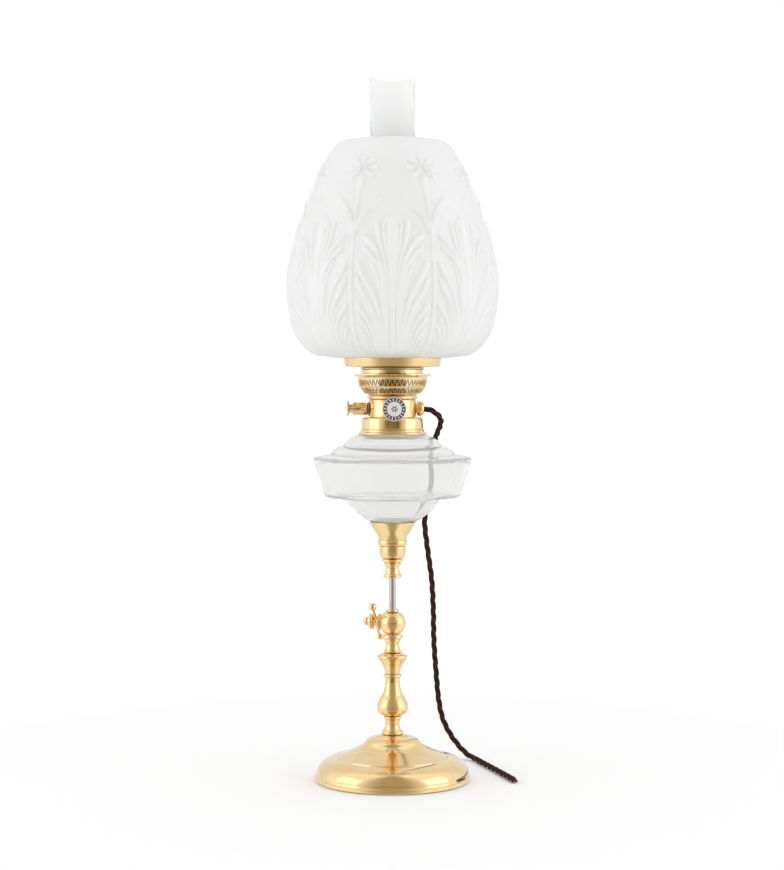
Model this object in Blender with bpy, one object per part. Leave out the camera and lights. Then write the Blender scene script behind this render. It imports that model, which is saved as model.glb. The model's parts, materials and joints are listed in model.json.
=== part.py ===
"""Height-adjustable brass table lamp in the form of an oil lamp, wired for a small electric bulb.

Frame: metres, +Z up, origin on the table under the middle of the foot. The round knob faces -Y, the push
switch points to -X and the flex leaves on +X. Lengths in this file are millimetres; the helpers below turn
them into metres. Heights (names ending in _Z) are above the table, radii (_R) are from the lamp's axis.
"""

import math

import bmesh
import bpy
from mathutils import Matrix, Vector

MM = 0.001
GAP = 0.3  # clearance that neighbouring solids keep

# Driving dimensions
FOOT_R = 72.2
FOOT_TOP_Z = 42.2
ROD_R = 3.4
TUBE_R = 5.0  # outside of the threaded tube that ties the column to the foot
COLUMN_BORE_R = TUBE_R + GAP
BALL_R = 12.2
BALL_Z = 145.2
GLAND_TOP_Z = 157.9
SOCKET_Z = 186.9  # underside of the part that rides on the rod
FONT_R = 73.2
FONT_RIM_Z = 298.0
COLLAR_Z = 319.9
BODY_R = 21.8
SIDE_AXIS_Z = 343.6  # height of the switch, the knob and the flex gland
GALLERY_Z = 375.9
CHIMNEY_R = 26.5  # the chimney's foot, 53 mm across for a 14-line burner
CHIMNEY_TUBE_R = 21.3
CARRIER_Z = 382.4
CARRIER_R = 45.4
SHADE_R = 96.9
SHADE_TOP_Z = 590.5
HEIGHT = 650.0
CLAMP_Z = 146.0
KNOB_TURN = math.radians(3)  # the burner stands turned this far, so its knob faces a little to +X
CLAMP_TURN = math.radians(15)  # the clamp screw points to -X, turned this far towards +Y
CORD_R = 2.33

# Facets round a turned piece
LARGE, MEDIUM, SMALL = 30, 24, 16


# ---------------------------------------------------------------- materials

def material(name, colour, roughness, metallic=0.0, transmission=0.0):
    made = bpy.data.materials.new(name)
    made.use_nodes = True
    shader = made.node_tree.nodes["Principled BSDF"]
    shader.inputs["Base Color"].default_value = (*colour, 1.0)
    shader.inputs["Roughness"].default_value = roughness
    shader.inputs["Metallic"].default_value = metallic
    shader.inputs["Transmission Weight"].default_value = transmission
    return made


def make_materials():
    return {
        "brass": material("polished_brass", (0.83, 0.61, 0.27), 0.22, metallic=1.0),
        "chrome": material("bright_steel", (0.75, 0.75, 0.76), 0.12, metallic=1.0),
        "nickel": material("nickel", (0.72, 0.71, 0.68), 0.25, metallic=1.0),
        "iron": material("cast_iron", (0.09, 0.09, 0.09), 0.7, metallic=0.6),
        "felt": material("green_felt", (0.05, 0.16, 0.09), 0.95),
        "clear": material("clear_glass", (0.95, 0.97, 0.96), 0.02, transmission=1.0),
        "opal": material("opal_glass", (0.88, 0.88, 0.87), 0.35),
        "black": material("black_plastic", (0.02, 0.02, 0.02), 0.4),
        "ceramic": material("white_ceramic", (0.85, 0.84, 0.8), 0.3),
        "plaster": material("plaster", (0.82, 0.8, 0.76), 0.9),
        "flex": material("brown_braid", (0.06, 0.03, 0.02), 0.85),
    }


# ---------------------------------------------------------------- outlines, as (radius, height) points

def arc(centre_r, centre_h, size_r, size_h, start, end, steps):
    """Points on an elliptical arc from start to end, in degrees anticlockwise from outwards."""
    angles = [math.radians(start + (end - start) * i / steps) for i in range(steps + 1)]
    return [(centre_r + size_r * math.cos(a), centre_h + size_h * math.sin(a)) for a in angles]


def sweep(start, pull, end, steps):
    """Points on a curve from start to end that bends towards pull, without start itself."""
    points = []
    for i in range(1, steps + 1):
        t = i / steps
        points.append(tuple((1 - t) ** 2 * s + 2 * t * (1 - t) * p + t * t * e
                            for s, p, e in zip(start, pull, end)))
    return points


def bead(root_r, low, high, crown_r, steps=3):
    """A rounded ring's outline from its lower root to its upper root."""
    middle = (low + high) / 2
    return arc(root_r, middle, crown_r - root_r, (high - low) / 2, -90, 90, steps)


def bored(outer, bore_r):
    """An outline from bottom to top, closed down a straight bore."""
    return outer + [(bore_r, outer[-1][1]), (bore_r, outer[0][1])]


# ---------------------------------------------------------------- solids

def finish(mesh_builder, name, look, at=(0, 0, 0), along=(0, 0, 1), smooth_angle=35):
    """The bmesh as a named object; its own +Z is laid along a direction through a place."""
    bmesh.ops.remove_doubles(mesh_builder, verts=mesh_builder.verts, dist=1e-6)
    bmesh.ops.recalc_face_normals(mesh_builder, faces=mesh_builder.faces)
    mesh = bpy.data.meshes.new(name)
    mesh_builder.to_mesh(mesh)
    mesh_builder.free()
    mesh.shade_smooth()
    mesh.set_sharp_from_angle(angle=math.radians(smooth_angle))
    made = bpy.data.objects.new(name, mesh)
    bpy.context.scene.collection.objects.link(made)
    made.location = Vector(at) * MM
    made.rotation_mode = "QUATERNION"
    made.rotation_quaternion = Vector((0, 0, 1)).rotation_difference(Vector(along))
    mesh.materials.append(look)
    return made


def turned(name, outline, look, facets=SMALL, **place):
    """A solid of revolution about its own Z from an outline that runs anticlockwise."""
    builder = bmesh.new()
    points = [builder.verts.new((r * MM, 0, h * MM)) for r, h in outline]
    edges = [builder.edges.new(pair) for pair in zip(points, points[1:])]
    if outline[0][0] > 0 or outline[-1][0] > 0:
        edges.append(builder.edges.new((points[-1], points[0])))
    bmesh.ops.spin(builder, geom=points + edges, cent=(0, 0, 0), axis=(0, 0, 1),
                   angle=2 * math.pi, steps=facets)
    return finish(builder, name, look, **place)


def rod(name, radius, start, end, look, facets=SMALL, at=(0, 0, 0), along=(0, 0, 1)):
    return turned(name, [(0, start), (radius, start), (radius, end), (0, end)], look, facets,
                  at=at, along=along)


def tube(name, inner_r, outer_r, start, end, look, facets=SMALL, **place):
    return turned(name, [(inner_r, start), (outer_r, start), (outer_r, end), (inner_r, end)], look, facets,
                  **place)


def block(name, low, high, look):
    """A box between two corners."""
    builder = bmesh.new()
    size = [(b - a) * MM for a, b in zip(low, high)]
    centre = Vector([(a + b) / 2 * MM for a, b in zip(low, high)])
    place = Matrix.Translation(centre) @ Matrix.Diagonal((*size, 1.0))
    bmesh.ops.create_cube(builder, size=1.0, matrix=place)
    return finish(builder, name, look)


def cut(target, cutter, operation="DIFFERENCE"):
    """Cuts one object by another, or joins it on; the second one becomes a hidden helper."""
    modifier = target.modifiers.new(cutter.name, "BOOLEAN")
    modifier.operation = operation
    modifier.object = cutter
    cutter.hide_render = True
    cutter.display_type = "WIRE"


def hex_nut(name, across_flats, bore_r, low, high, look):
    nut = rod(name, across_flats / math.sqrt(3), low, high, look, 6)
    cut(nut, rod(name + "_bore_form", bore_r, low - 1, high + 1, look))


def wire(name, radius, points, look, resolution=1):
    """A round wire on a smooth line through a few points."""
    curve = bpy.data.curves.new(name, "CURVE")
    curve.dimensions = "3D"
    curve.bevel_depth = radius * MM
    curve.bevel_resolution = resolution
    curve.use_fill_caps = True
    spline = curve.splines.new("POLY")
    spline.points.add(len(points) - 1)
    for target, point in zip(spline.points, points):
        target.co = (*(Vector(point) * MM), 1.0)
    made = bpy.data.objects.new(name, curve)
    bpy.context.scene.collection.objects.link(made)
    curve.materials.append(look)
    return made


def smooth_line(knots, spacing):
    """Points about spacing apart on a Catmull-Rom curve through the knots."""
    knots = [Vector(k) for k in knots]
    padded = [2 * knots[0] - knots[1], *knots, 2 * knots[-1] - knots[-2]]
    fine = []
    for before, start, end, after in zip(padded, padded[1:], padded[2:], padded[3:]):
        for i in range(20):
            t = i / 20
            fine.append(0.5 * (2 * start + (end - before) * t
                               + (2 * before - 5 * start + 4 * end - after) * t * t
                               + (3 * start - before - 3 * end + after) * t ** 3))
    fine.append(knots[-1])
    lengths = [(b - a).length for a, b in zip(fine, fine[1:])]
    count = round(sum(lengths) / spacing)
    step = sum(lengths) / count
    points, walked, target = [fine[0]], 0.0, step
    for a, b, length in zip(fine, fine[1:], lengths):
        while walked + length >= target and len(points) < count:
            points.append(a.lerp(b, (target - walked) / length))
            target += step
        walked += length
    return points + [fine[-1]]


# ---------------------------------------------------------------- the foot

def make_foot(look):
    """A spun brass foot over a cast weight, with felt underneath, drawn together by a nut."""
    lip_z, wall = 4.7, 1.6
    band_r, band_z = 50.4, 6.2  # centre of the rolled outer band's section
    outside = [(FOOT_R - 1.5, 0.8), (FOOT_R, 2.2), (FOOT_R, lip_z - 0.4), (FOOT_R - 1.7, lip_z + 0.2)]
    outside += arc(band_r, band_z, FOOT_R - 1.9 - band_r, 15.2, 5, 86, 6)
    outside += [(51.2, 21.2), (50.5, 22.0)]  # the step inside the band
    outside += sweep((50.5, 22.0), (40.0, 26.4), (31.4, 30.4), 3)  # the hollow slope
    outside += sweep((31.4, 30.4), (27.2, 32.6), (25.6, 35.0), 2)
    outside += sweep((25.6, 35.0), (23.6, 39.2), (16.6, 40.0), 3)  # the shoulder
    outside += [(15.0, 39.4), (14.2, 40.1)]  # the groove round the crown
    outside += sweep((14.2, 40.1), (12.6, FOOT_TOP_Z), (9.6, FOOT_TOP_Z), 2) + [(COLUMN_BORE_R, FOOT_TOP_Z)]
    inside = [(COLUMN_BORE_R, 37.8), (16.0, 37.8)] + sweep((16.0, 37.8), (22.8, 37.0), (24.2, 33.8), 2)
    inside += sweep((24.2, 33.8), (26.0, 30.4), (31.0, 28.4), 2)
    inside += sweep((31.0, 28.4), (40.0, 24.4), (49.8, 20.2), 1)
    inside += arc(band_r, lip_z, FOOT_R - wall - 1.9 - band_r, 15.0, 80, 0, 4)
    inside += [(FOOT_R - wall - 1.9, 0.8)]
    turned("foot_shell", outside + inside, look["brass"], LARGE)

    turned("foot_weight", [(TUBE_R + GAP, 12.3), (14.0, 12.3), (14.0, 3.0), (66.0, 3.0), (66.0, 9.0),
                           (50.0, 17.0), (27.0, 26.0), (TUBE_R + GAP, 30.0)], look["iron"], LARGE)
    rod("foot_felt", 67.4, 0.0, 2.7, look["felt"], LARGE)
    tube("foot_washer", TUBE_R + GAP, 11.0, 10.6, 12.0, look["chrome"])
    hex_nut("foot_nut", 16.0, TUBE_R + GAP, 5.0, 10.3, look["chrome"])
    tube("tie_tube", ROD_R + GAP, TUBE_R, 4.0, 134.2, look["chrome"])


# ---------------------------------------------------------------- the column

def make_column(look):
    """Turned brass pieces threaded on the tie tube, one on top of the other."""
    low = FOOT_TOP_Z + GAP
    column_foot = bead(9.0, low, 45.4, 10.1, 2) + sweep((9.0, 45.4), (5.6, 50.0), (6.6, 52.4), 2)
    column_foot += sweep((6.6, 52.4), (6.6, 55.8), (7.3, 56.6), 2) + bead(7.4, 56.8, 59.2, 8.3, 2)
    turned("column_foot", bored(column_foot, COLUMN_BORE_R), look["brass"])

    baluster = [(7.2, 59.5), (8.4, 60.0)] + sweep((8.4, 60.0), (14.5, 61.8), (14.3, 67.8), 4)
    baluster += sweep((14.3, 67.8), (13.6, 73.0), (9.6, 78.6), 3)
    baluster += sweep((9.6, 78.6), (6.9, 84.0), (6.6, 94.6), 3)
    turned("column_baluster", bored(baluster, COLUMN_BORE_R), look["brass"])

    turned("column_ring", bored(bead(6.8, 94.9, 98.2, 8.7), COLUMN_BORE_R), look["brass"])

    flare = [(6.7, 98.5)] + sweep((6.7, 98.5), (7.6, 104.0), (11.2, 109.6), 3)
    flare += sweep((11.2, 109.6), (12.6, 111.6), (13.2, 112.4), 1) + bead(12.9, 112.5, 115.8, 13.9, 2)
    flare += [(10.0, 117.4), (7.6, 117.9)]
    turned("column_flare", bored(flare, COLUMN_BORE_R), look["brass"])

    neck = bead(7.4, 118.2, 120.6, 8.3, 2) + sweep((7.4, 120.6), (5.7, 124.0), (6.0, 125.4), 2)
    neck += sweep((6.0, 125.4), (6.2, 127.4), (7.0, 128.2), 2) + bead(7.0, 128.2, 130.4, 7.6, 2)
    neck += bead(8.6, 130.6, 134.4, 9.7)
    turned("column_neck", bored(neck, COLUMN_BORE_R), look["brass"])


def clamp_direction():
    return Vector((-math.cos(CLAMP_TURN), math.sin(CLAMP_TURN), 0))


def make_clamp(look):
    """The ball that holds the rod: a split collet inside it, a screw with a cross bar at its side."""
    reach = 9.7  # the ball is faced off this far above and below its centre
    edge = math.degrees(math.asin(reach / BALL_R))
    shell = turned("clamp_ball", bored(arc(0, BALL_Z, BALL_R, BALL_R, -edge, edge, 6), TUBE_R),
                   look["brass"], MEDIUM)
    aside = {"at": (0, 0, CLAMP_Z), "along": clamp_direction()}
    boss = turned("clamp_boss_form", [(0, 7.0), (6.2, 7.0), (7.2, 11.0), (7.2, 12.8), (6.4, 13.4), (0, 13.4)],
                  look["brass"], **aside)
    cut(shell, boss, "UNION")
    cut(shell, rod("clamp_bore_form", TUBE_R, 120.0, 170.0, look["brass"]))
    cut(shell, rod("clamp_thread_form", 2.7, 1.0, 20.0, look["brass"], 10, **aside))

    gland = [(ROD_R + GAP, 155.2), (5.4, 155.2)] + bead(5.5, 155.3, GLAND_TOP_Z, 6.2, 2)
    gland += [(ROD_R + GAP, GLAND_TOP_Z)]
    turned("rod_gland", gland, look["brass"])

    tube("clamp_collet", ROD_R + 0.25, TUBE_R - 0.3, 136.0, 153.6, look["brass"])
    rod("clamp_pad", 2.2, TUBE_R + 0.05, 5.9, look["brass"], 10, **aside)

    head = [(0, 6.2), (2.4, 6.2), (2.4, 13.7), (3.5, 13.9), (3.5, 17.4), (5.4, 17.8)]
    head += sweep((5.4, 17.8), (7.9, 18.6), (7.2, 20.8), 2) + sweep((7.2, 20.8), (6.2, 23.0), (3.6, 23.5), 2)
    head += arc(0, 24.3, 3.8, 3.7, 0, 90, 4)
    screw = turned("clamp_screw", head, look["brass"], **aside)
    bar_place = clamp_direction() * 15.7 + Vector((0, 0, CLAMP_Z))
    lean = math.radians(40.6)  # how far the cross bar leans out of the vertical
    level = Vector((-math.sin(CLAMP_TURN), -math.cos(CLAMP_TURN), 0))
    bar_line = Vector((0, 0, 1)) * math.cos(lean) + level * math.sin(lean)
    bar = {"at": bar_place, "along": bar_line}
    cut(screw, rod("clamp_hole_form", 1.7, -9.0, 9.0, look["brass"], 10, **bar))
    rod("clamp_bar", 1.4, -16.6, 15.4, look["brass"], 10, **bar)
    turned("clamp_bar_ball_upper", arc(0, 19.5, 3.75, 3.75, -90, 90, 6), look["brass"], 12, **bar)
    turned("clamp_bar_ball_lower", arc(0, -20.2, 3.3, 3.3, -90, 90, 6), look["brass"], 12, **bar)


# ---------------------------------------------------------------- what rides on the rod

def make_lift(look):
    """The rod and the turned pieces between it and the glass font."""
    rod("lift_rod", ROD_R, 45.0, 204.0, look["chrome"])

    socket = bead(7.3, SOCKET_Z, 190.8, 8.5, 2) + sweep((7.3, 190.8), (5.9, 195.0), (6.4, 198.0), 2)
    socket += sweep((6.4, 198.0), (6.8, 200.6), (8.0, 201.8), 2) + bead(8.6, 202.0, 204.8, 9.8, 2)
    turned("rod_socket", bored(socket, ROD_R + GAP), look["brass"])

    cup = [(8.4, 205.1), (9.4, 205.3)] + sweep((9.4, 205.3), (11.6, 206.0), (11.6, 208.4), 2)
    cup += [(11.6, 216.6)]
    turned("socket_cup", bored(cup, 4.0), look["brass"])

    flare = [(11.8, 216.9)] + bead(12.4, 217.2, 222.6, 13.5)
    flare += sweep((12.4, 222.6), (13.6, 226.0), (16.4, 229.8), 2)
    flare += sweep((16.4, 229.8), (19.2, 234.0), (21.7, 238.7), 2)
    flare += [(20.7, 238.7)] + sweep((20.7, 238.7), (17.2, 233.0), (11.0, 229.6), 2)
    flare += [(4.0, 229.6), (4.0, 216.9)]
    turned("font_cup", flare, look["brass"], MEDIUM)


def make_font(look):
    """The glass font, blown with a broad flared band, and its cemented brass fittings."""
    bowl_z, bowl_r, wall = 285.0, 50.6, 3.4
    outside = [(0, 234.6), (13.0, 234.6), (17.8, 237.9)]
    outside += arc(0, bowl_z, bowl_r, bowl_r, -64, -30, 5)
    outside += [(58.4, 261.5)] + sweep((58.4, 261.5), (62.4, 261.7), (63.5, 265.6), 2)  # under the band
    outside += [(FONT_R, FONT_RIM_Z - 1.0), (FONT_R - 1.6, FONT_RIM_Z + 0.8), (66.0, 300.1)]
    outside += [(57.8, 301.4)] + sweep((57.8, 301.4), (55.8, 307.2), (46.8, 309.0), 3)  # lower shoulder
    outside += [(45.4, 309.8)] + sweep((45.4, 309.8), (41.8, 316.6), (31.6, 319.6), 3)  # upper shoulder
    outside += [(28.6, 319.6), (28.6, 322.6)]
    inside = [(26.4, 322.6), (26.4, 317.6)] + sweep((26.4, 317.6), (38.0, 315.0), (42.0, 307.6), 2)
    inside += [(43.4, 306.0)] + sweep((43.4, 306.0), (52.8, 304.2), (54.8, 298.6), 2)
    inside += [(68.8, 295.4), (60.2, 267.4), (57.6, 264.9), (42.2, 264.4)]
    inside += arc(0, bowl_z, bowl_r - wall, bowl_r - wall, -28, -72, 4) + [(0, bowl_z - bowl_r + wall + 1.2)]
    turned("font", outside + inside, look["clear"], LARGE)

    cement = [(0, 229.9), (10.6, 229.9)] + sweep((10.6, 229.9), (15.6, 232.4), (18.0, 236.6), 2)
    cement += [(13.2, 234.3), (0, 234.3)]
    turned("font_cement", cement, look["plaster"])

    collar = [(28.9, COLLAR_Z), (31.0, COLLAR_Z), (31.7, COLLAR_Z + 0.8), (31.7, COLLAR_Z + 1.9)]
    collar += [(30.2, COLLAR_Z + 2.6), (29.6, 324.2), (26.0, 324.2), (26.0, 323.0), (28.9, 323.0)]
    turned("font_collar", collar, look["brass"], MEDIUM)


# ---------------------------------------------------------------- the burner

def knob_direction():
    return Vector((math.sin(KNOB_TURN), -math.cos(KNOB_TURN), 0))


def make_burner(look):
    """The burner's shell: a screwed cap, a drum with three side fittings, and the pierced basket."""
    cap = [(24.4, 317.0), (25.7, 317.0), (25.7, 324.5), (28.4, 324.5), (28.4, 333.2)]
    cap += sweep((28.4, 333.2), (28.4, 335.6), (26.0, 335.6), 2)
    cap += [(TUBE_R + GAP, 335.6), (TUBE_R + GAP, 334.2), (25.6, 334.2), (26.9, 332.8), (26.9, 326.0),
            (24.4, 326.0)]
    turned("burner_cap", cap, look["brass"], MEDIUM)

    drum = tube("burner_drum", BODY_R - 1.4, BODY_R, 335.9, 351.8, look["brass"], MEDIUM)
    level = (0, 0, SIDE_AXIS_Z)
    cut(drum, rod("switch_hole_form", 4.4, 10.0, 30.0, look["brass"], 16, at=level, along=(-1, 0, 0)))
    cut(drum, rod("gland_hole_form", 4.4, 10.0, 30.0, look["brass"], 16, at=level, along=(1, 0, 0)))
    cut(drum, rod("knob_hole_form", 3.4, 10.0, 30.0, look["brass"], 16, at=level, along=knob_direction()))

    seat = [(20.4, 352.1), (21.4, 352.1)] + bead(21.7, 352.2, 355.9, 23.1) + [(20.4, 355.9)]
    turned("basket_seat", seat, look["brass"], MEDIUM)
    make_basket(look)

    gallery = [(23.4, GALLERY_Z), (28.6, GALLERY_Z), (28.6, 379.6)] + bead(28.5, 379.8, 382.0, 29.6, 2)
    gallery += [(27.2, 382.0), (27.2, 377.1), (23.4, 377.1)]
    turned("chimney_gallery", gallery, look["brass"], MEDIUM)


def make_basket(look):
    """A thin bowl pierced by two rows of openings, under a broad rim."""
    columns, wall = 36, 0.9
    levels = [(22.8, 356.2), (26.2, 358.1), (29.5, 362.2), (30.8, 364.9), (32.0, 370.3), (32.6, 372.4),
              (36.0, 374.3), (36.0, 375.6)]
    pierced = (1, 3)  # bands between levels that hold openings
    builder = bmesh.new()
    turns = [Matrix.Rotation(2 * math.pi * i / columns, 3, "Z") for i in range(columns)]
    rings = [[builder.verts.new(turn @ Vector((r * MM, 0, z * MM))) for turn in turns] for r, z in levels]
    for band, (lower, upper) in enumerate(zip(rings, rings[1:])):
        for i in range(columns):
            j = (i + 1) % columns
            if band not in pierced or i % 2:
                builder.faces.new((lower[i], lower[j], upper[j], upper[i]))
    basket = finish(builder, "basket", look["brass"])
    thick = basket.modifiers.new("wall", "SOLIDIFY")
    thick.thickness = wall * MM
    thick.offset = -1
    return basket


def make_side_fittings(look):
    """Switch to the left, knob to the front, flex gland to the right, all at one height."""
    level = (0, 0, SIDE_AXIS_Z)
    left, right = (-1, 0, 0), (1, 0, 0)
    front = knob_direction()

    barrel = [(2.4, 12.4), (4.1, 12.4), (4.1, 22.9), (5.4, 22.9), (5.9, 23.4), (5.9, 36.5), (5.5, 36.9),
              (4.5, 36.9), (4.5, 30.0), (2.4, 30.0)]
    turned("switch_barrel", barrel, look["brass"], at=level, along=left)
    tube("switch_washer", 4.4, 6.5, 22.0, 22.6, look["black"], at=level, along=left)
    plunger = [(0, 8.4), (2.1, 8.4), (2.1, 33.2), (4.1, 33.2), (4.1, 39.9), (7.0, 40.1)]
    plunger += sweep((7.0, 40.1), (7.3, 41.8), (6.4, 42.2), 2) + [(0, 42.8)]
    turned("switch_plunger", plunger, look["brass"], at=level, along=left)
    case = block("switch_case", (-12.1, -5.5, 339.1), (-5.6, 5.5, 349.6), look["black"])
    cut(case, rod("switch_case_form", 2.5, 0.0, 20.0, look["brass"], 10, at=level, along=left))

    turned("knob_bush", [(1.9, 14.0), (3.1, 14.0), (3.1, 22.2), (4.6, 22.2), (4.6, 26.0), (4.0, 26.6),
                         (1.9, 26.6)],
           look["brass"], at=level, along=front)
    rod("knob_spindle", 1.6, 12.0, 30.5, look["chrome"], 12, at=level, along=front)
    knob = [(0, 30.8), (3.0, 30.8), (9.8, 31.4), (10.8, 31.8), (10.8, 33.4), (10.2, 34.0), (7.6, 33.8),
            (6.8, 34.2)]
    knob += [(0, 34.6)]
    turned("knob_disc", knob, look["nickel"], MEDIUM, at=level, along=front)

    gland = [(3.1, 15.0), (4.1, 15.0), (4.1, 22.2), (6.0, 22.2), (6.0, 27.0)]
    gland += sweep((6.0, 27.0), (5.9, 28.8), (4.4, 29.3), 2) + [(3.1, 29.3)]
    turned("flex_gland", gland, look["brass"], at=level, along=right)


def make_lampholder(look):
    """The small screw lampholder in its brass case on a nipple, with a slim tubular bulb in it."""
    tube("holder_nipple", 3.6, TUBE_R, 326.0, 361.6, look["chrome"])
    hex_nut("holder_nut", 13.0, TUBE_R + GAP, 329.6, 333.9, look["chrome"])
    sleeve = [(TUBE_R + GAP, 358.0), (11.6, 358.0), (12.6, 359.0), (12.6, 384.0), (11.2, 384.0),
              (11.2, 359.4), (TUBE_R + GAP, 359.4)]
    turned("holder_sleeve", sleeve, look["brass"])
    turned("holder_core", [(0, 362.0), (10.8, 362.0), (10.8, 383.6), (7.4, 383.6), (7.4, 366.0), (0, 366.0)],
           look["ceramic"])
    cap = [(0, 366.4), (3.0, 366.4), (3.0, 367.4), (6.9, 369.4), (6.9, 388.0), (0, 388.0)]
    turned("bulb_cap", cap, look["nickel"])
    glass = [(0, 388.3), (6.6, 388.3)] + sweep((6.6, 388.3), (12.8, 392.0), (12.8, 400.0), 2)
    glass += [(12.8, 455.0)]
    glass += arc(0, 455.0, 12.8, 11.0, 15, 90, 4)
    turned("bulb_glass", glass, look["opal"])
    for name, side in (("lead_live", 1), ("lead_neutral", -1)):
        route = [(20.0, side, 343.6), (15.0, side * 1.6, 344.6), (10.4, side * 3.0, 350.0),
                 (9.6, side * 3.6, 357.6)]
        wire(name, 0.9, smooth_line(route, 2.5), look["flex"])


# ---------------------------------------------------------------- the glass

def make_chimney(look):
    """A chimney with a 53 mm foot, drawn in to a straight tube."""
    foot_z, wall = 377.4, 1.7
    outside = [(CHIMNEY_R, foot_z), (CHIMNEY_R, 424.0)]
    outside += sweep((CHIMNEY_R, 424.0), (CHIMNEY_R, 431.0), (22.6, 437.0), 2)
    outside += sweep((22.6, 437.0), (CHIMNEY_TUBE_R, 440.0), (CHIMNEY_TUBE_R, 448.0), 2)
    outside += [(CHIMNEY_TUBE_R, HEIGHT)]
    inside = [(r - wall, z) for r, z in reversed(outside)]
    turned("chimney", outside + inside, look["clear"], MEDIUM)


def make_shade(look):
    """The opal shade: wide below, narrowing to an open top, with a fitter neck inside the carrier's ring."""
    wall = 3.2
    outside = [(43.2, 384.3), (43.2, 390.2)] + sweep((43.2, 390.2), (63.0, 390.4), (73.0, 395.8), 2)
    outside += sweep((73.0, 395.8), (93.6, 407.6), (95.6, 440.0), 4)
    outside += sweep((95.6, 440.0), (SHADE_R + 1.5, 460.0), (94.0, 482.0), 3)
    outside += sweep((94.0, 482.0), (85.0, 526.0), (70.6, 558.0), 2)
    outside += sweep((70.6, 558.0), (62.0, 578.0), (53.6, 587.0), 2)
    outside += sweep((53.6, 587.0), (50.0, SHADE_TOP_Z), (43.7, SHADE_TOP_Z), 2)
    inside = [(42.6, SHADE_TOP_Z - wall), (48.6, 586.6)]
    inside += sweep((48.6, 586.6), (58.6, 576.4), (67.2, 557.0), 2)
    inside += sweep((67.2, 557.0), (82.0, 524.0), (90.6, 482.0), 2)
    inside += sweep((90.6, 482.0), (SHADE_R - wall + 1.8, 460.0), (91.8, 440.0), 2)
    inside += sweep((91.8, 440.0), (89.4, 410.6), (71.2, 398.8), 3)
    inside += sweep((71.2, 398.8), (62.0, 394.0), (42.0, 393.6), 2)
    inside += [(40.0, 392.0), (40.0, 384.3)]
    turned("shade", outside + inside, look["opal"], LARGE)


def make_carrier(look):
    """The ring that holds the shade, on three arms from a collar that sits on the gallery's bead."""
    base = CARRIER_Z
    ring = turned("shade_carrier", [(40.4, base), (44.2, base), (CARRIER_R, base + 7.8), (43.9, base + 7.8),
                                    (43.6, base + 1.4), (40.4, base + 1.4)], look["brass"], LARGE)
    collar = tube("carrier_collar_form", 27.1, 31.4, base + 0.02, base + 1.38, look["brass"], LARGE)
    cut(ring, collar, "UNION")
    for i in range(3):
        arm = block(f"carrier_arm_form_{i}", (29.4, -4.0, base + 0.1), (42.4, 4.0, base + 1.3),
                    look["brass"])
        arm.rotation_quaternion = Matrix.Rotation(math.radians(90 + 120 * i), 3, "Z").to_quaternion()
        cut(ring, arm, "UNION")


# ---------------------------------------------------------------- the flex

def make_flex(look):
    """The twisted flex: out of the gland, over the back of the font, down to the table and forward."""
    table = CORD_R + 0.05
    route = [(29.6, 0, 343.6), (36.2, 1.0, 341.9), (41.6, 4.0, 338.3), (45.0, 9.5, 333.4),
             (44.6, 17.0, 327.4), (42.2, 26.5, 320.6), (40.8, 34.0, 315.6), (39.2, 44.0, 310.0),
             (38.0, 55.0, 304.9), (37.2, 65.2, 301.9), (36.6, 70.4, 295.0), (38.4, 71.6, 284.0),
             (38.4, 71.9, 270.0), (34.0, 71.2, 252.0), (30.9, 70.4, 234.0), (33.9, 71.6, 206.4),
             (37.8, 73.8, 177.2), (39.4, 76.0, 148.0), (40.0, 79.0, 118.6), (42.1, 83.0, 88.9),
             (44.8, 88.4, 60.4), (49.0, 93.6, 40.6), (56.8, 98.0, 24.0), (67.0, 98.6, 10.6),
             (74.4, 95.0, 4.4), (80.3, 86.6, table), (86.4, 66.0, table), (94.4, 41.0, table),
             (102.0, 16.4, table), (108.0, -3.4, table), (112.4, -18.0, table)]
    wire("flex", CORD_R, smooth_line(route, 8.0), look["flex"], resolution=2)


# ---------------------------------------------------------------- the lamp

def make_lamp():
    for old in list(bpy.data.objects):
        bpy.data.objects.remove(old)
    look = make_materials()
    for make in (make_foot, make_column, make_clamp, make_lift, make_font, make_burner, make_side_fittings,
                 make_lampholder, make_chimney, make_shade, make_carrier, make_flex):
        make(look)


make_lamp()
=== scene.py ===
"""The brass table lamp in oil-lamp form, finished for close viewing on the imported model's frame.

Every turned piece is turned again here with fine facets and eased edges. The shade gets its moulded leaves,
the basket its lattice and the flex its twist. Lengths are millimetres, which the helpers turn into metres.
Outlines are (radius, height) points, anticlockwise: up the outside of a piece and down its inside.
"""

import json
import math

import bmesh
import bpy
import numpy as np
from mathutils import Matrix, Vector


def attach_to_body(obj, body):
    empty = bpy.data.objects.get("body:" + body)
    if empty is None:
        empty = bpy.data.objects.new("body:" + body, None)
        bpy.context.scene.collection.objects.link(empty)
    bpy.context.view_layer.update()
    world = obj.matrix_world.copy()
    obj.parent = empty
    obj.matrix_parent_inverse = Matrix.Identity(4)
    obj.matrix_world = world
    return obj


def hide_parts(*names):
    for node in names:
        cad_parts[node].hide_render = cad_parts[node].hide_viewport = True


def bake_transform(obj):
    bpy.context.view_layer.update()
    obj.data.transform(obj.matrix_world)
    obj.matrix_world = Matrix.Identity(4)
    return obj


MM = 0.001
FACETS = 128  # round the large turned pieces
FINE = 72  # round the small ones
GAP = 0.3  # clearance round the rod and the tube

# Driving dimensions, as in the CAD model
ROD_R = 3.4
TUBE_R = 5.0
BALL_R = 12.2
BALL_Z = 145.2
CLAMP_Z = 146.0
CLAMP_TURN = math.radians(15)
CLAMP_BAR_LEAN = math.radians(40.6)
KNOB_TURN = math.radians(3)
SIDE_AXIS_Z = 343.6
FOOT_R = 72.2
FONT_R = 73.2
SHADE_R = 96.9
SHADE_TOP_Z = 590.5
CORD_R = 2.33
HEIGHT = 650.0

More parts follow.
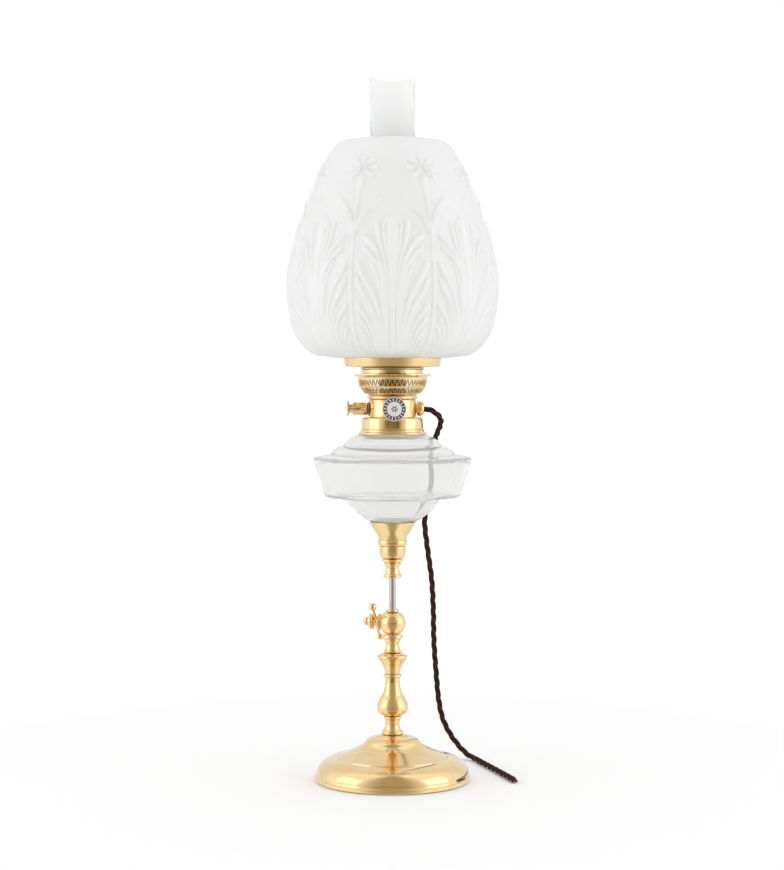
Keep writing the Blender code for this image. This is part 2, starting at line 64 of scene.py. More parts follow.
LEAVES = 8  # round the shade
HALF_LEAF = math.pi / LEAVES  # the angle from a leaf's middle to the stem beside it


# ---------------------------------------------------------------- outlines

def arc(centre_r, centre_h, size_r, size_h, start, end, steps=12):
    """Points on an elliptical arc from start to end, in degrees anticlockwise from outwards."""
    angles = [math.radians(start + (end - start) * i / steps) for i in range(steps + 1)]
    return [(centre_r + size_r * math.cos(a), centre_h + size_h * math.sin(a)) for a in angles]


def bend(outline, pull, end, steps=10):
    """Carries the outline on to end, along a curve that bends towards pull."""
    start = outline[-1]
    for i in range(1, steps + 1):
        t = i / steps
        outline.append(tuple((1 - t) ** 2 * s + 2 * t * (1 - t) * p + t * t * e
                             for s, p, e in zip(start, pull, end)))


def bead(root_r, low, high, crown_r):
    """A rounded ring's outline from its lower root to its upper root."""
    return arc(root_r, (low + high) / 2, crown_r - root_r, (high - low) / 2, -90, 90)


def bored(outer, bore_r):
    """An outline from bottom to top, closed down a straight bore."""
    return outer + [(bore_r, outer[-1][1]), (bore_r, outer[0][1])]


def eased(outline, radius, nearly_straight=152):
    """The outline with each sharp corner off the axis cut back to a small round."""
    points = [Vector(p) for p in outline]
    closed = points[0].x > 0 or points[-1].x > 0
    result = []
    for i, here in enumerate(points):
        if not closed and i in (0, len(points) - 1):
            result.append(here)
            continue
        before = points[i - 1] - here
        after = points[(i + 1) % len(points)] - here
        if min(before.length, after.length) < 1e-6:
            continue
        if math.degrees(before.angle(after)) > nearly_straight:
            result.append(here)
            continue
        into = here + before.normalized() * min(radius, 0.45 * before.length)
        out = here + after.normalized() * min(radius, 0.45 * after.length)
        result += [into, (into + out + 2 * here) / 4, out]
    return [tuple(p) for p in result]


def smooth_line(knots, spacing, steps=20):
    """Points about spacing apart on a Catmull-Rom curve through the knots."""
    knots = [Vector(k) for k in knots]
    padded = [2 * knots[0] - knots[1], *knots, 2 * knots[-1] - knots[-2]]
    fine = []
    for before, start, end, after in zip(padded, padded[1:], padded[2:], padded[3:]):
        for i in range(steps):
            t = i / steps
            fine.append(0.5 * (2 * start + (end - before) * t
                               + (2 * before - 5 * start + 4 * end - after) * t * t
                               + (3 * start - before - 3 * end + after) * t ** 3))
    fine.append(knots[-1])
    lengths = [(b - a).length for a, b in zip(fine, fine[1:])]
    count = round(sum(lengths) / spacing)
    step = sum(lengths) / count
    points, walked, target = [fine[0]], 0.0, step
    for a, b, length in zip(fine, fine[1:], lengths):
        while walked + length >= target and len(points) < count:
            points.append(a.lerp(b, (target - walked) / length))
            target += step
        walked += length
    return points + [fine[-1]]


# ---------------------------------------------------------------- making pieces

def link(name, mesh, look, at=(0, 0, 0), along=(0, 0, 1)):
    """The mesh as an object with its origin at a place and its own Z along a direction."""
    made = bpy.data.objects.new(name, mesh)
    bpy.context.scene.collection.objects.link(made)
    made.location = Vector(at) * MM
    made.rotation_mode = "QUATERNION"
    made.rotation_quaternion = Vector((0, 0, 1)).rotation_difference(Vector(along))
    mesh.materials.append(LOOK[look])
    return made


def smoothed(builder, name, look, smooth_angle=40, **place):
    """The bmesh as an object, smooth but for its sharp edges."""
    bmesh.ops.remove_doubles(builder, verts=builder.verts, dist=1e-7)
    bmesh.ops.recalc_face_normals(builder, faces=builder.faces)
    mesh = bpy.data.meshes.new(name)
    builder.to_mesh(mesh)
    builder.free()
    mesh.shade_smooth()
    mesh.set_sharp_from_angle(angle=math.radians(smooth_angle))
    return link(name, mesh, look, **place)


def turned(name, outline, look, facets=FINE, ease=0.25, **place):
    """A solid of revolution about its own Z, with flat walls that its eased edges don't shade."""
    outline = eased(outline, ease)
    builder = bmesh.new()
    points = [builder.verts.new((r * MM, 0, h * MM)) for r, h in outline]
    edges = [builder.edges.new(pair) for pair in zip(points, points[1:])]
    if outline[0][0] > 0 or outline[-1][0] > 0:
        edges.append(builder.edges.new((points[-1], points[0])))
    bmesh.ops.spin(builder, geom=points + edges, cent=(0, 0, 0), axis=(0, 0, 1),
                   angle=2 * math.pi, steps=facets)
    piece = smoothed(builder, name, look, **place)
    piece.modifiers.new("flat walls", "WEIGHTED_NORMAL").keep_sharp = True
    return piece


def block(builder, size, place):
    """A box of that size in the bmesh, moved and turned by a matrix."""
    scale = Matrix.Diagonal((*(Vector(size) * MM), 1.0))
    bmesh.ops.create_cube(builder, size=1.0, matrix=place @ scale)


def shift(*point):
    return Matrix.Translation(Vector(point) * MM)


def spin(share):
    """A turn about Z by a share of a full circle."""
    return Matrix.Rotation(2 * math.pi * share, 4, "Z")


def bake(piece):
    """The piece's modifiers applied to its mesh."""
    graph = bpy.context.evaluated_depsgraph_get()
    made = bpy.data.meshes.new_from_object(piece.evaluated_get(graph))
    piece.modifiers.clear()
    piece.data = made


def stand_for(piece, node):
    """The piece takes a CAD node's place, on the same body."""
    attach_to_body(piece, BODY_OF[node])
    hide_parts(node)


def refine(node, outline, look="brass", **options):
    """A CAD node turned again, finely."""
    stand_for(turned(node + "_fine", outline, look, **options), node)


def attach(pieces, body):
    """Puts pieces that no CAD node stands for on a body."""
    for piece in pieces:
        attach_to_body(piece, body)


# ---------------------------------------------------------------- materials

def new_node(tree, kind, inputs=None, **settings):
    """A shader node with its settings, and each input linked to a socket or set to a value."""
    node = tree.nodes.new("ShaderNode" + kind)
    for key, value in settings.items():
        setattr(node, key, value)
    for socket, source in (inputs or {}).items():
        if isinstance(source, bpy.types.NodeSocket):
            tree.links.new(source, node.inputs[socket])
        else:
            node.inputs[socket].default_value = source
    return node


class Look:
    """A material being built: its shader, and what varies over the surface."""

    def __init__(self, name, **values):
        self.material = bpy.data.materials.new(name)
        self.material.use_nodes = True
        self.tree = self.material.node_tree
        self.shader = self.tree.nodes["Principled BSDF"]
        for socket, value in values.items():
            self.shader.inputs[socket.replace("_", " ")].default_value = value

    def add(self, kind, inputs=None, **settings):
        return new_node(self.tree, kind, inputs, **settings)

    def join(self, source, socket):
        self.tree.links.new(source, self.shader.inputs[socket])

    def rings(self):
        """Coordinates that only change along and away from the piece's own axis, as a lathe's marks do."""
        split = self.add("SeparateXYZ", {"Vector": self.add("TexCoord").outputs["Object"]})
        across = self.add("CombineXYZ", {"X": split.outputs["X"], "Y": split.outputs["Y"]})
        radius = self.add("VectorMath", {0: across.outputs[0]}, operation="LENGTH")
        return self.add("CombineXYZ", {"X": radius.outputs["Value"], "Z": split.outputs["Z"]}).outputs[0]

    def noise(self, scale, detail=3.0, roughness=0.5, lathed=False):
        """Noise over the piece, or in rings round its axis."""
        vector = self.rings() if lathed else self.add("TexCoord").outputs["Object"]
        return self.add("TexNoise", {"Vector": vector, "Scale": scale, "Detail": detail,
                                     "Roughness": roughness}).outputs["Fac"]

    def spread(self, value, low, high):
        """A noise value stretched over a range."""
        return self.add("MapRange", {"Value": value, "From Min": 0.3, "From Max": 0.7,
                                     "To Min": low, "To Max": high}).outputs["Result"]

    def colour(self, first, second, *noise):
        share = self.spread(self.noise(*noise), 0.0, 1.0)
        mixer = self.add("Mix", {"Factor": share, 6: (*first, 1.0), 7: (*second, 1.0)}, data_type="RGBA")
        self.join(mixer.outputs[2], "Base Color")

    def roughness(self, low, high, *noise, lathed=False):
        self.join(self.spread(self.noise(*noise, lathed=lathed), low, high), "Roughness")

    def bump(self, height, distance, strength=1.0, under=None):
        """Relief of that height in metres, on top of another one."""
        inputs = {"Height": height, "Distance": distance, "Strength": strength}
        if under:
            inputs["Normal"] = under
        return self.add("Bump", inputs).outputs["Normal"]

    def grain(self, distance, *noise, strength=1.0, under=None, lathed=False):
        """A noisy skin of that height in metres."""
        self.join(self.bump(self.noise(*noise, lathed=lathed), distance, strength, under), "Normal")


def brass_look(name, grain_height):
    """Polished brass under lacquer: faint turning marks, fine grain, and patches a little redder."""
    look = Look(name, Metallic=1.0, Coat_Weight=0.6, Coat_Roughness=0.12)
    look.colour((0.93, 0.71, 0.39), (0.88, 0.62, 0.28), 70, 5, 0.6)
    look.roughness(0.09, 0.19, 160, 6, 0.7)
    marks = look.bump(look.noise(1500, 2, lathed=True), 0.000004, 0.5)
    look.grain(grain_height, 900, 4, 0.7, strength=0.6, under=marks)
    return look.material


def dull_shaded_brass_look():
    """The basket's inside and the lampholder's skirt: matt brass in a dark brown that is painted shade for
    the dim inside of the basket.
    """
    look = Look("brass_dull_painted_shade", Metallic=0.8)
    # dark brown tints: painted shade for the inside of the basket
    look.colour((0.34, 0.21, 0.09), (0.22, 0.13, 0.055), 240, 4)
    look.roughness(0.4, 0.6, 300, 4)
    look.grain(0.00003, 900, 4)
    return look.material


def steel_look():
    """The rod's bright drawn steel, with fine marks round it."""
    look = Look("steel_bright", Metallic=1.0)
    look.colour((0.66, 0.65, 0.65), (0.58, 0.57, 0.57), 60)
    look.roughness(0.10, 0.20, 2200, lathed=True)
    look.grain(0.000004, 2600, 2, lathed=True)
    return look.material


def nickel_look():
    look = Look("nickel_satin", Metallic=1.0)
    look.colour((0.84, 0.83, 0.80), (0.74, 0.73, 0.71), 300)
    look.roughness(0.24, 0.36, 1800, lathed=True)
    look.grain(0.000008, 2400, 2, lathed=True)
    return look.material


def silvered_look():
    """The knob's face: dull silvering, paler than nickel."""
    look = Look("silvered_dial", Metallic=0.25)
    look.colour((0.80, 0.80, 0.80), (0.74, 0.74, 0.745), 700)
    look.roughness(0.42, 0.55, 900)
    look.grain(0.00001, 2600, 4)
    return look.material


def iron_look():
    look = Look("iron_cast", Metallic=0.6)
    look.colour((0.10, 0.095, 0.09), (0.05, 0.05, 0.05), 80)
    look.roughness(0.6, 0.8, 400)
    look.grain(0.0003, 500, 5)
    return look.material


def felt_look():
    look = Look("felt_green", Roughness=0.95, Sheen_Weight=0.5)
    look.colour((0.03, 0.12, 0.06), (0.06, 0.19, 0.10), 900)
    look.grain(0.0004, 1800, 6, 0.8)
    return look.material


def clear_look():
    """Pressed glass with a faint waviness and a pale bloom all over, so it stays nearly white."""
    look = Look("glass_clear", IOR=1.2, Transmission_Weight=0.75)
    look.colour((0.975, 0.98, 0.975), (0.965, 0.97, 0.965), 12)
    look.roughness(0.02, 0.06, 60, 2)
    look.grain(0.0002, 24, 1, strength=0.35)
    return look.material


def opal_look():
    """White opal glass, satin etched: light sinks in a little, and the skin is finely matt."""
    look = Look("glass_opal", IOR=1.5, Subsurface_Weight=0.3, Subsurface_Scale=0.008,
                Subsurface_Radius=(1.0, 1.0, 1.0))
    look.colour((0.83, 0.832, 0.83), (0.815, 0.815, 0.81), 26, 4)
    look.roughness(0.32, 0.42, 700, 4)
    look.grain(0.00003, 1600, 3, strength=0.5)
    return look.material


def black_look():
    look = Look("plastic_black", Specular_IOR_Level=0.5)
    look.colour((0.022, 0.020, 0.020), (0.012, 0.011, 0.012), 200)
    look.roughness(0.35, 0.5, 500)
    look.grain(0.00002, 1400)
    return look.material


def ceramic_look():
    look = Look("porcelain", Coat_Weight=0.6, Coat_Roughness=0.08)
    look.colour((0.86, 0.84, 0.79), (0.80, 0.78, 0.73), 90)
    look.roughness(0.25, 0.4, 300)
    look.grain(0.0001, 140, strength=0.3)
    return look.material


def plaster_look():
    look = Look("plaster_set")
    look.colour((0.80, 0.78, 0.73), (0.70, 0.68, 0.63), 240)
    look.roughness(0.8, 0.95, 500)
    look.grain(0.0002, 900, 5)
    return look.material


def enamel_look():
    """The knob's dark filled ring."""
    look = Look("enamel_dark", Coat_Weight=0.4, Coat_Roughness=0.1)
    look.colour((0.045, 0.040, 0.050), (0.075, 0.068, 0.075), 900)
    look.roughness(0.3, 0.45, 700)
    look.grain(0.00001, 1500)
    return look.material


def copper_look():
    look = Look("copper_strands", Metallic=1.0)
    look.colour((0.90, 0.45, 0.28), (0.75, 0.33, 0.2), 900)
    look.roughness(0.25, 0.4, 1500)
    look.grain(0.00005, 4000)
    return look.material


def lead_look():
    """The plain sleeving of the two leads inside the drum."""
    look = Look("lead_sleeving", Specular_IOR_Level=0.3)
    look.colour((0.07, 0.035, 0.022), (0.045, 0.022, 0.015), 700)
    look.roughness(0.6, 0.8, 900)
    look.grain(0.0001, 1800)
    return look.material


def braid_look():
    """Dark brown textile: two sets of threads crossing round each core, with a little fluff."""
    look = Look("braid_brown", Specular_IOR_Level=0.1)
    split = look.add("SeparateXYZ", {"Vector": look.add("UVMap").outputs["UV"]}).outputs
    threads_round = 6.0

    def maths(operation, first, second=0.0):
        return look.add("Math", {0: first, 1: second}, operation=operation).outputs[0]

    def threads(slant):
        """The height of the threads that lie at one slant."""
        across = maths("MULTIPLY", split["X"], threads_round)
        phase = maths("ADD", across, maths("MULTIPLY", split["Y"], slant))
        return maths("SINE", maths("MULTIPLY", phase, 2 * math.pi))

    look.colour((0.072, 0.032, 0.023), (0.044, 0.019, 0.014), 1400, 3)
    look.roughness(0.75, 0.95, 900)
    weave = look.bump(maths("MAXIMUM", threads(1.0), threads(-1.0)), 0.00018)
    look.grain(0.00008, 5000, 3, strength=0.6, under=weave)
    return look.material


# ---------------------------------------------------------------- foot and column

def make_foot():
    lip_z, wall = 4.7, 1.6
    band_r, band_z = 50.4, 6.2  # centre of the rolled outer band's section
    outside = [(FOOT_R - 1.5, 0.8), (FOOT_R - 0.4, 1.4), (FOOT_R, 2.6), (FOOT_R, lip_z - 0.5),
               (FOOT_R - 1.6, lip_z)]
    outside += arc(band_r, band_z, FOOT_R - 1.9 - band_r, 15.2, 1, 86, 26)
    outside += [(51.6, 21.5), (51.4, 21.0), (50.8, 21.0), (50.5, 22.0)]  # the step inside the band
    bend(outside, (40.0, 26.4), (31.4, 30.4), 16)
    bend(outside, (27.2, 32.6), (25.6, 35.0), 10)
    bend(outside, (23.6, 39.2), (16.6, 40.0), 14)
    outside += [(15.6, 40.1), (15.3, 39.4), (14.7, 39.4), (14.4, 40.1)]  # the groove round the crown
    bend(outside, (12.6, 42.1), (9.6, 42.2), 8)
    outside += [(TUBE_R + GAP, 42.2)]
    inside = [(TUBE_R + GAP, 37.8), (16.0, 37.8)]
    bend(inside, (22.8, 37.0), (24.2, 33.8))
    bend(inside, (26.0, 30.4), (31.0, 28.4))
    bend(inside, (40.0, 24.4), (49.8, 20.2))
    inside += arc(band_r, lip_z, FOOT_R - wall - 1.9 - band_r, 15.0, 80, 0) + [(FOOT_R - wall - 1.9, 0.8)]
    refine("foot_shell", outside + inside, facets=FACETS)
    refine("foot_felt", [(0, 0), (67.4, 0), (67.4, 2.7), (0, 2.7)], "felt", facets=FACETS, ease=0.5)


def make_column():
    foot = bead(9.0, 42.5, 45.4, 10.2)
    bend(foot, (5.6, 50.0), (6.6, 52.4))
    bend(foot, (6.6, 55.8), (7.3, 56.6), 6)
    foot += bead(7.4, 56.8, 59.2, 8.3)

    baluster = [(7.2, 59.5), (8.4, 59.8)]
    bend(baluster, (14.7, 61.6), (14.5, 67.8), 14)
    bend(baluster, (13.8, 73.0), (9.8, 78.6), 12)
    bend(baluster, (6.9, 84.0), (6.7, 94.6), 14)

    ring = bead(6.9, 94.9, 98.2, 8.8)

    flare = [(6.8, 98.5)]
    bend(flare, (7.6, 104.0), (11.4, 109.6), 12)
    bend(flare, (12.6, 111.4), (13.2, 112.4), 6)
    flare += bead(12.9, 112.5, 115.8, 14.0) + [(10.0, 117.2), (7.6, 117.9)]

    neck = bead(7.4, 118.2, 120.6, 8.4)
    bend(neck, (5.8, 124.0), (6.1, 125.4), 8)
    bend(neck, (6.2, 127.4), (7.0, 128.2), 6)
    neck += bead(7.0, 128.2, 130.4, 7.6) + bead(8.6, 130.6, 134.4, 9.7)

    for node, outline in (("column_foot", foot), ("column_baluster", baluster), ("column_ring", ring),
                          ("column_flare", flare), ("column_neck", neck)):
        refine(node, bored(outline, TUBE_R + GAP), "cast")


# ---------------------------------------------------------------- the clamp

def clamp_direction():
    return Vector((-math.cos(CLAMP_TURN), math.sin(CLAMP_TURN), 0))


def make_clamp():
    """The ball and its boss are one casting: the boss is turned apart and set into the ball."""
    flat = 9.7  # from the ball's middle to its flats above and below
    edge = math.degrees(math.asin(flat / BALL_R))
    ball = arc(0, BALL_Z, BALL_R, BALL_R, -edge, edge, 36)
    refine("clamp_ball", bored(ball, TUBE_R), "cast", facets=FACETS)
    aside = {"at": (0, 0, CLAMP_Z), "along": clamp_direction()}
    boss = [(2.7, 8.0), (6.6, 8.0), (6.8, 10.4)]
    bend(boss, (6.9, 11.2), (7.4, 11.4), 5)
    boss += bead(7.2, 11.4, 13.4, 7.8) + [(2.7, 13.4)]
    attach([turned("clamp_boss", boss, "cast", ease=0.2, **aside)], "stand")

    gland = [(ROD_R + GAP, 155.2), (5.2, 155.2)] + bead(5.4, 155.4, 157.9, 6.2) + [(ROD_R + GAP, 157.9)]
    refine("rod_gland", gland)

    head = [(0, 6.2), (2.4, 6.2), (2.4, 13.7), (3.4, 13.9), (3.4, 17.3), (5.6, 17.7)]
    bend(head, (8.1, 18.3), (7.4, 20.6))
    bend(head, (6.2, 23.0), (3.4, 23.4))
    head += arc(0, 24.4, 4.0, 3.9, -12, 90, 14)
    refine("clamp_screw", head, **aside)

    bar_line = Vector((0, 0, 1)) * math.cos(CLAMP_BAR_LEAN)
    bar_line += Vector((-math.sin(CLAMP_TURN), -math.cos(CLAMP_TURN), 0)) * math.sin(CLAMP_BAR_LEAN)
    bar = {"at": clamp_direction() * 15.7 + Vector((0, 0, CLAMP_Z)), "along": bar_line}
    rod = [(0, -17.2), (1.3, -17.2)]
    bend(rod, (2.0, 0.0), (1.3, 16.2), 12)
    rod += [(0, 16.2)]
    refine("clamp_bar", rod, **bar)
    refine("clamp_bar_ball_upper", arc(0, 19.5, 3.75, 3.75, -90, 90, 24), **bar)
    refine("clamp_bar_ball_lower", arc(0, -20.2, 3.3, 3.3, -90, 90, 24), **bar)


# ---------------------------------------------------------------- rod, cup and font

def make_lift():
    refine("lift_rod", [(0, 45), (ROD_R, 45), (ROD_R, 204), (0, 204)], "steel", ease=0.6)

    socket = bead(7.3, 186.9, 190.6, 8.7)
    bend(socket, (5.9, 195.0), (6.5, 198.0))
    socket += bead(6.9, 198.6, 201.0, 8.0) + [(7.6, 201.3), (8.4, 201.8)] + bead(8.6, 202.0, 204.8, 10.2)
    refine("rod_socket", bored(socket, ROD_R + GAP))

    cup = [(8.4, 205.2), (9.0, 205.3)]
    bend(cup, (11.8, 205.8), (12.1, 209.0))
    cup += [(12.1, 214.8)]
    bend(cup, (12.1, 216.4), (11.4, 216.6), 5)
    refine("socket_cup", bored(cup, 4.0))

    flare = [(12.6, 216.9)] + bead(12.6, 217.0, 222.4, 13.7) + [(12.9, 222.9)]
    bend(flare, (13.4, 226.0), (16.4, 229.8))
    bend(flare, (19.4, 234.0), (21.8, 238.7))
    flare += [(20.8, 238.7)]
    bend(flare, (17.2, 233.0), (11.0, 229.6))
    flare += [(4.0, 229.6), (4.0, 216.9)]
    refine("font_cup", flare, facets=FACETS)

    cement = [(0, 229.9), (10.6, 229.9)]
    bend(cement, (15.6, 232.4), (18.0, 236.6))
    refine("font_cement", cement + [(13.2, 234.3), (0, 234.3)], "plaster")


def make_font():
    bowl_z, bowl_r, wall = 285.0, 50.6, 3.4
    outside = [(0, 234.6), (13.0, 234.6), (17.8, 237.9)]
    outside += arc(0, bowl_z, bowl_r, bowl_r, -64, -30, 20)
    outside += [(58.4, 261.5)]
    bend(outside, (62.6, 261.7), (63.6, 265.6), 8)
    outside += [(FONT_R, 296.4)]
    bend(outside, (73.7, 298.4), (71.4, 298.9), 6)
    outside += [(66.0, 300.1), (57.8, 301.4)]
    bend(outside, (55.8, 307.2), (46.8, 309.0), 12)
    outside += [(45.4, 309.8)]
    bend(outside, (41.8, 316.6), (31.6, 319.6), 14)
    outside += [(28.6, 319.6), (28.6, 322.6)]
    inside = [(26.4, 322.6), (26.4, 317.6)]
    bend(inside, (38.0, 315.0), (42.0, 307.6), 12)
    inside += [(43.4, 306.0)]
    bend(inside, (52.8, 304.2), (54.8, 298.6), 10)
    inside += [(68.8, 295.4), (60.2, 267.4)]
    bend(inside, (59.6, 264.9), (57.6, 264.9), 5)
    inside += [(42.2, 264.4)]
    inside += arc(0, bowl_z, bowl_r - wall, bowl_r - wall, -28, -86, 24) + [(0, bowl_z - bowl_r + wall)]
    refine("font", outside + inside, "clear", facets=160, ease=0.8)

    collar = [(28.9, 319.9), (31.2, 319.9), (31.8, 320.5), (31.8, 321.6), (30.6, 322.2), (29.8, 322.5),
              (29.6, 324.2), (26.0, 324.2), (26.0, 323.0), (28.9, 323.0)]
    refine("font_collar", collar, facets=FACETS)


# ---------------------------------------------------------------- burner

def knob_direction():
    return Vector((math.sin(KNOB_TURN), -math.cos(KNOB_TURN), 0))


def make_burner():
    cap = [(24.4, 317.0), (25.7, 317.0), (25.7, 324.4), (28.4, 324.4), (28.7, 325.2), (28.7, 333.2)]
    bend(cap, (28.7, 335.6), (26.2, 335.6), 8)
    cap += [(TUBE_R + GAP, 335.6), (TUBE_R + GAP, 334.2), (25.6, 334.2), (26.9, 332.8)]
    cap += [(26.9, 326.0), (24.4, 326.0)]
    refine("burner_cap", cap, facets=FACETS)

    drum = [(20.4, 335.9), (22.2, 335.9), (22.2, 336.9), (21.8, 337.2), (21.8, 350.8), (22.2, 351.1),
            (22.2, 351.8), (20.4, 351.8)]
    refine("burner_drum", drum, facets=FACETS)

    seat = [(20.4, 352.1), (21.6, 352.1)] + bead(21.9, 352.3, 355.8, 23.7) + [(20.4, 355.9)]
    refine("basket_seat", seat, facets=FACETS)

    gallery = [(23.4, 375.9), (28.6, 375.9), (28.6, 379.4)] + bead(28.6, 379.7, 382.0, 29.7)
    gallery += [(27.2, 382.0), (27.2, 377.1), (23.4, 377.1)]
    refine("chimney_gallery", gallery, facets=FACETS)


def basket_lattice(levels, periods):
    """The basket's skin. Each level is (radius, height, places of its points within a period). A level whose
    places differ from the next one's is joined to it by crossing strips, with openings between."""
    builder = bmesh.new()
    rings = []
    for radius, height, places in levels:
        turns = [(period + place) / periods for period in range(periods) for place in places]
        rings.append([builder.verts.new(spin(share) @ Vector((radius, 0, height)) * MM) for share in turns])
    count = len(rings[0])
    for (_, _, places), (_, _, next_places), below, above in zip(levels, levels[1:], rings, rings[1:]):
        if places is next_places:
            for i in range(count):
                builder.faces.new((below[i], below[(i + 1) % count], above[(i + 1) % count], above[i]))
            continue
        # A head stands half a period after its foot, so its right strip ends at the next period's foot.
        ahead = 0 if places[1] < next_places[1] else 3
        for i in range(0, count, 3):
            right, left = i + ahead, i + ahead - 3
            builder.faces.new((below[i + 1], below[i + 2], above[(right + 1) % count], above[right % count]))
            builder.faces.new((below[i], below[i + 1], above[(left + 2) % count], above[(left + 1) % count]))
    return builder


def make_basket():
    """A bowl with two rows of zigzag lattice, a row of pips between them and a broad rim above."""
    periods, strip = 46, 0.14  # zigzags round the bowl, and half a strip's width as a share of one
    low = [-strip, 0, strip]  # where the strips' feet stand, from the middle of a period
    high = [0.5 - strip, 0.5, 0.5 + strip]  # and their heads
    levels = [(22.8, 356.2, low), (24.6, 356.9, low), (26.2, 358.1, low),
              (29.5, 362.3, high), (30.2, 363.5, high), (30.8, 364.7, high),
              (31.9, 370.2, low), (32.1, 371.4, low), (32.6, 372.5, low), (33.6, 373.3, low),
              (35.4, 374.0, low), (36.2, 374.6, low), (36.2, 375.5, low)]
    basket = smoothed(basket_lattice(levels, periods), "basket_fine", "brass", smooth_angle=30)
    # the lattice's inner face takes the matt brass whose dark brown is painted shade
    basket.data.materials.append(LOOK["dull"])
    wall = basket.modifiers.new("wall", "SOLIDIFY")
    wall.thickness = 0.9 * MM
    wall.offset = -1
    wall.material_offset = 1
    edges = basket.modifiers.new("edges", "BEVEL")
    edges.width = 0.12 * MM
    edges.segments = 2
    edges.limit_method = "ANGLE"
    stand_for(basket, "basket")

    pips = bmesh.new()
    for i in range(2 * periods):
        centre = spin((i + 0.5) / (2 * periods)) @ Vector((30.3, 0, 363.5)) * MM
        bmesh.ops.create_uvsphere(pips, u_segments=8, v_segments=6, radius=0.75 * MM,
                                  matrix=Matrix.Translation(centre))
    attach([smoothed(pips, "basket_pips", "brass")], "upper")


def make_carrier():
    """The shade's plain ring, on three arms from a collar on the gallery."""
    ring = [(40.4, 382.4), (44.2, 382.4), (45.4, 390.2), (43.9, 390.2), (43.6, 383.8), (40.4, 383.8)]
    refine("shade_carrier", ring, facets=FACETS, ease=0.6)
    builder = bmesh.new()
    for i in range(3):
        block(builder, (12.4, 8.0, 1.2), spin(1 / 4 + i / 3) @ shift(35.8, 0, 383.1))
    bmesh.ops.bevel(builder, geom=builder.edges, offset=0.3 * MM, segments=2, affect="EDGES")
    arms = smoothed(builder, "carrier_arms", "brass")
    collar = [(27.2, 382.4), (31.4, 382.4), (31.4, 383.8), (27.2, 383.8)]
    attach([arms, turned("carrier_collar", collar, "brass", FACETS)], "upper")


def make_lampholder():
    nipple = [(3.6, 326.0), (TUBE_R, 326.0), (TUBE_R, 361.6), (3.6, 361.6)]
    refine("holder_nipple", nipple, "steel")
    sleeve = [(TUBE_R + GAP, 358.0), (11.6, 358.0), (12.6, 359.0), (12.6, 384.0), (11.2, 384.0),
              (11.2, 359.4), (TUBE_R + GAP, 359.4)]
    # the skirt inside the basket takes the matt brass whose dark brown is painted shade
    refine("holder_sleeve", sleeve, "dull", ease=0.5)
    core = [(0, 362.0), (10.8, 362.0), (10.8, 383.6), (7.4, 383.6), (7.4, 366.0), (0, 366.0)]
    refine("holder_core", core, "ceramic", ease=0.5)
    cap = [(0, 366.4), (3.0, 366.4), (3.0, 367.4), (6.6, 369.4)]
    for thread in range(6):
        cap += arc(6.5, 371.2 + 2.6 * thread, 0.45, 1.2, -80, 80, 6)
    cap += [(6.9, 388.0), (0, 388.0)]
    refine("bulb_cap", cap, "nickel")
    glass = [(0, 388.3), (6.6, 388.3)]
    bend(glass, (12.8, 392.0), (12.8, 400.0), 12)
    glass += arc(0, 455.0, 12.8, 11.0, 0, 90, 16)
    refine("bulb_glass", glass, "opal")


# ---------------------------------------------------------------- what stands round the drum

def make_switch():
    place = {"at": (0, 0, SIDE_AXIS_Z), "along": (-1, 0, 0)}
    barrel = [(2.4, 12.4), (4.1, 12.4), (4.1, 22.9), (5.4, 22.9), (5.9, 23.4), (5.9, 36.3), (5.4, 36.9),
              (4.5, 36.9), (4.5, 30.0), (2.4, 30.0)]
    body = turned("switch_barrel_fine", barrel, "brass", **place)
    builder = bmesh.new()
    block(builder, (10.5, 3.0, 0.9), shift(-31.8, -5.8, SIDE_AXIS_Z))
    cutter = smoothed(builder, "slot_form", "brass")
    groove = body.modifiers.new("slot", "BOOLEAN")
    groove.operation = "DIFFERENCE"
    groove.object = cutter
    bake(body)
    bpy.data.objects.remove(cutter)
    stand_for(body, "switch_barrel")

    washer = [(4.4, 22.0), (6.5, 22.0), (6.5, 22.6), (4.4, 22.6)]
    refine("switch_washer", washer, "black", ease=0.1, **place)
    plunger = [(0, 8.4), (2.1, 8.4), (2.1, 33.2), (4.1, 33.2), (4.1, 39.4)]
    bend(plunger, (4.2, 40.1), (6.4, 40.2))
    plunger += [(7.0, 40.3)]
    bend(plunger, (7.5, 41.8), (6.4, 42.2))
    bend(plunger, (4.0, 42.4), (0, 42.8))
    refine("switch_plunger", plunger, **place)


